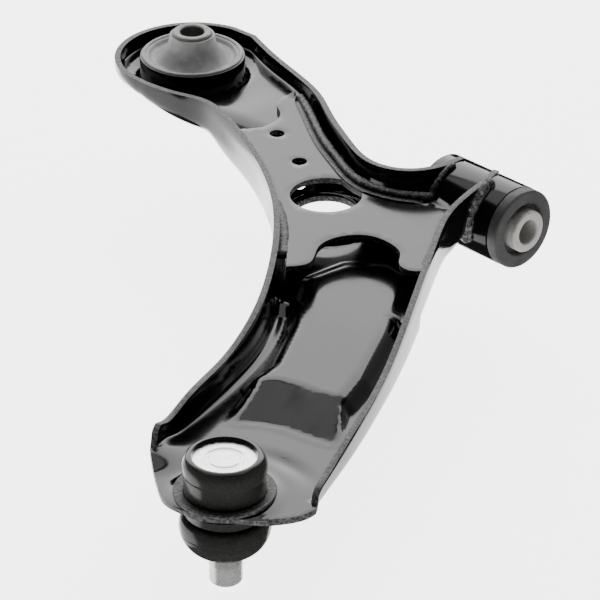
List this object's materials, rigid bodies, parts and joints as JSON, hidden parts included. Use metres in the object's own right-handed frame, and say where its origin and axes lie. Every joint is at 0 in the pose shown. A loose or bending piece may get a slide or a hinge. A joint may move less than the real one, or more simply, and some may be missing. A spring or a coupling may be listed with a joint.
{
  "type": "suspension control arm",
  "caption": "Pressed-steel L-shaped lower control arm with a horizontal front bush, a vertical rear bush and a pinch-bolt ball joint with its dust boot.",
  "frame": {"origin": "centre of the front bush, on its bolt axis", "axes": "+Y along the front bush towards its flanged mouth and away from the rear bush, +X towards the ball joint, +Z the side that the reinforcement plate and the ball joint's cap are on; the ball stud points to -Z"},
  "size_m": [0.312, 0.3627, 0.0827],
  "materials": {
    "black_paint": "gloss black electrocoat over pressed steel",
    "sleeve_steel": "plain machined steel, dull grey",
    "shell_steel": "satin black phosphated steel",
    "bush_rubber": "dark grey moulded rubber, matt, dusty",
    "housing_steel": "satin black phosphated forging",
    "cap_zinc": "bright zinc-plated pressing",
    "seat_plastic": "natural acetal",
    "stud_steel": "bright machined steel",
    "boot_rubber": "smooth black rubber, slightly shiny",
    "ring_steel": "spring steel"
  },
  "bodies": {
    "arm": {"arm_pan": "black_paint", "reinforcement_plate": "black_paint", "plate_weld_left": "black_paint", "plate_weld_rear": "black_paint", "plate_weld_front": "black_paint", "tube_weld_rear": "black_paint", "tube_weld_front": "black_paint", "front_bush_tube": "black_paint", "front_bush_outer_sleeve": "sleeve_steel", "front_bush_rubber": "bush_rubber", "rear_bush_outer_sleeve": "shell_steel", "rear_bush_rubber": "bush_rubber", "ball_joint_housing": "housing_steel", "ball_joint_cap": "cap_zinc", "ball_seat": "seat_plastic", "boot_clamp_ring": "ring_steel"},
    "front_sleeve": {"front_bush_inner_sleeve": "sleeve_steel"},
    "rear_sleeve": {"rear_bush_inner_sleeve": "sleeve_steel"},
    "boot_tilt": {"dust_boot": "boot_rubber"},
    "boot_lip": {"boot_lip_ring": "ring_steel"},
    "stud": {"ball_stud": "stud_steel"}
  },
  "joints": [
    {"name": "front_bush_twist", "type": "hinge", "parent": "arm", "child": "front_sleeve", "pos_m": [0, 0, 0], "axis": [0, 1, 0], "range_deg": [-16, 16], "stiffness_Nm_per_rad": 60},
    {"name": "rear_bush_tilt", "type": "hinge", "parent": "arm", "child": "rear_sleeve", "pos_m": [0, -0.2032, 0], "axis": [0, 1, 0], "range_deg": [-16, 16], "stiffness_Nm_per_rad": 80, "deforming": ["rear_bush_rubber"]},
    {"name": "ball_tilt_x", "type": "hinge", "parent": "arm", "child": "boot_tilt", "pos_m": [0.249, 0.0843, -0.0106], "axis": [1, 0, 0], "range_deg": [-17, 17], "deforming": ["dust_boot"]},
    {"name": "ball_tilt_y", "type": "hinge", "parent": "boot_tilt", "child": "boot_lip", "pos_m": [0.249, 0.0843, -0.0106], "axis": [0, 1, 0], "range_deg": [-17, 17]},
    {"name": "stud_spin", "type": "hinge", "parent": "boot_lip", "child": "stud", "pos_m": [0.249, 0.0843, -0.0106], "axis": [0, 0, 1], "continuous": true}
  ]
}
